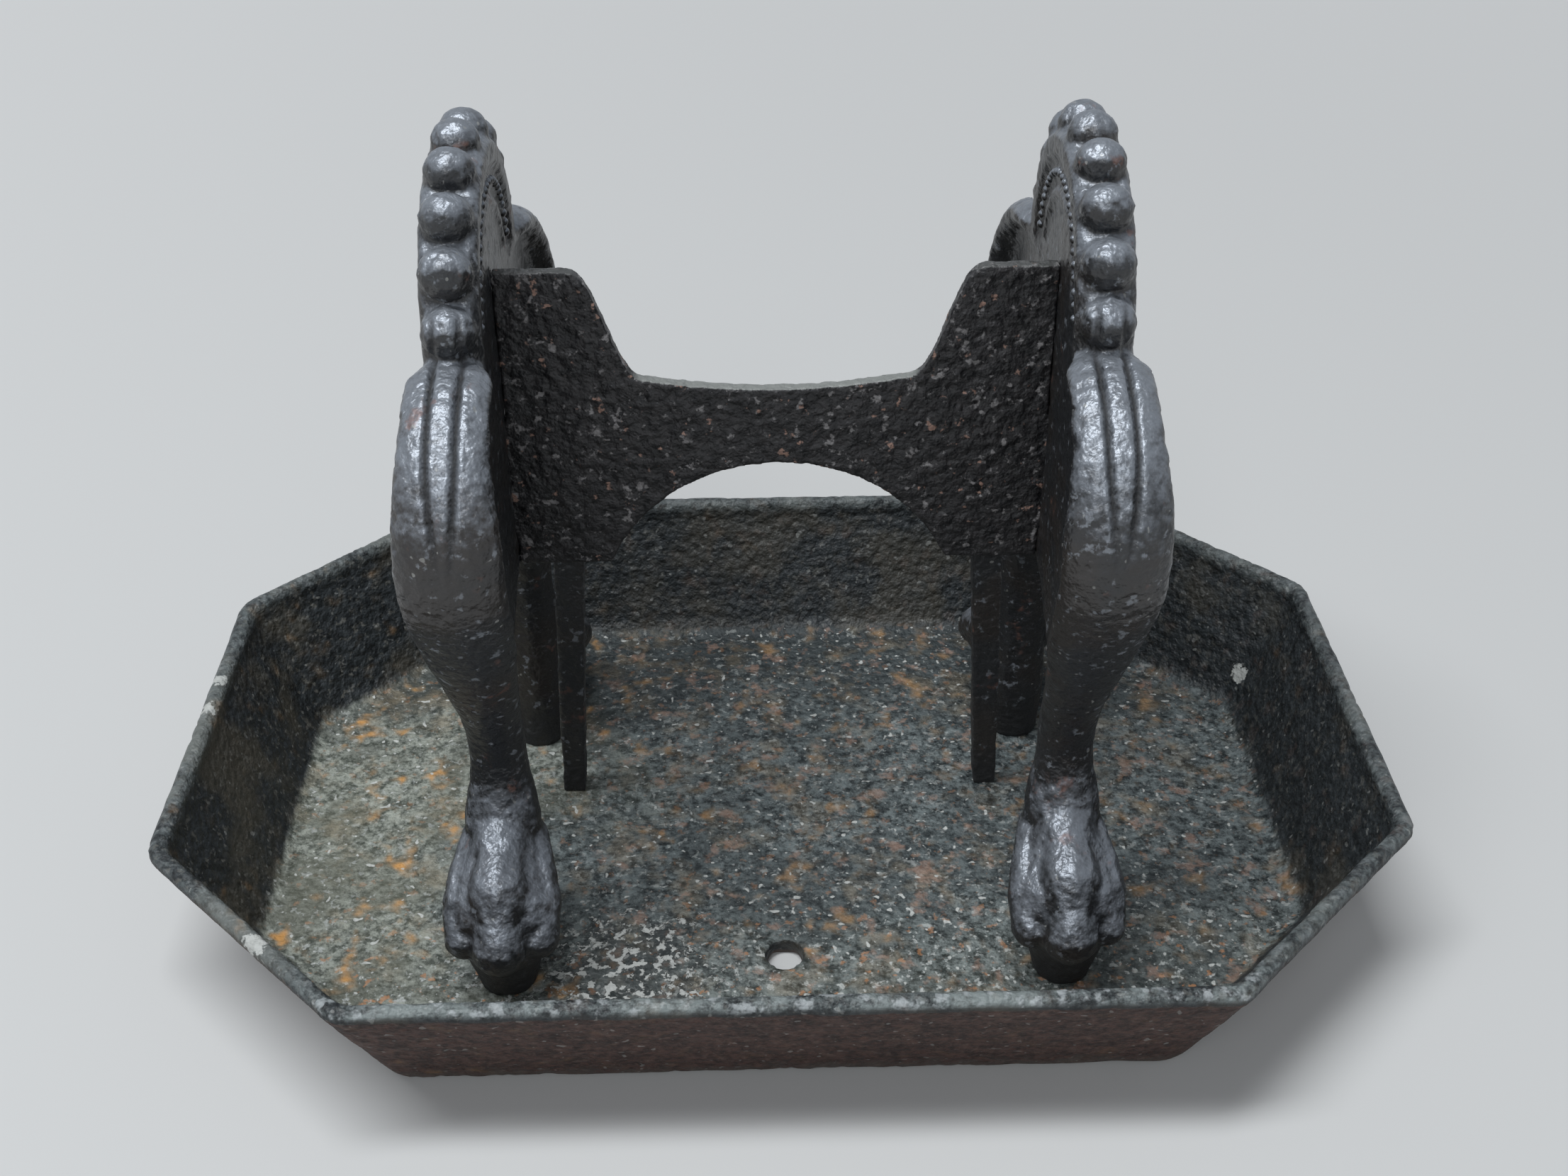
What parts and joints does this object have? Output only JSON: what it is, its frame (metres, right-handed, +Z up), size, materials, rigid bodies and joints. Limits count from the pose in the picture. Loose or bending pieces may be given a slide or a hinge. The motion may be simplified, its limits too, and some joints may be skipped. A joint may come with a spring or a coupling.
{
  "type": "boot scraper",
  "caption": "Cast iron boot scraper: a horned and arched blade between two beaded, reeded end frames on paw feet, standing loose in an eight-sided drip tray.",
  "frame": {"origin": "middle of the tray's flat underside, on the ground", "axes": "+X along the blade, to the right of the person using it; -Y towards that person; +Z up"},
  "size_m": [0.4, 0.276, 0.2644],
  "materials": {
    "frame_iron": "old black paint over pitted cast iron, worn to a dull sheen on the raised parts, a little rust",
    "blade_iron": "near-black pitted cast iron with rust specks and a worn grey scraping edge",
    "stay_iron": "dull black painted wrought iron",
    "tray_iron": "worn black paint gone grey-green on the floor and rim, with orange rust spots and pale specks"
  },
  "bodies": {
    "tray_body": {"tray": "tray_iron"},
    "scraper": {"end_frame_left": "frame_iron", "end_frame_right": "frame_iron", "blade": "blade_iron", "stay_left": "stay_iron", "stay_right": "stay_iron", "stay_rivet_left": "blade_iron", "stay_rivet_right": "blade_iron"}
  },
  "joints": [
    {"name": "lift_out", "type": "slide", "parent": "tray_body", "child": "scraper", "axis": [0, 0, 1], "range_m": [0, 0.06]}
  ]
}
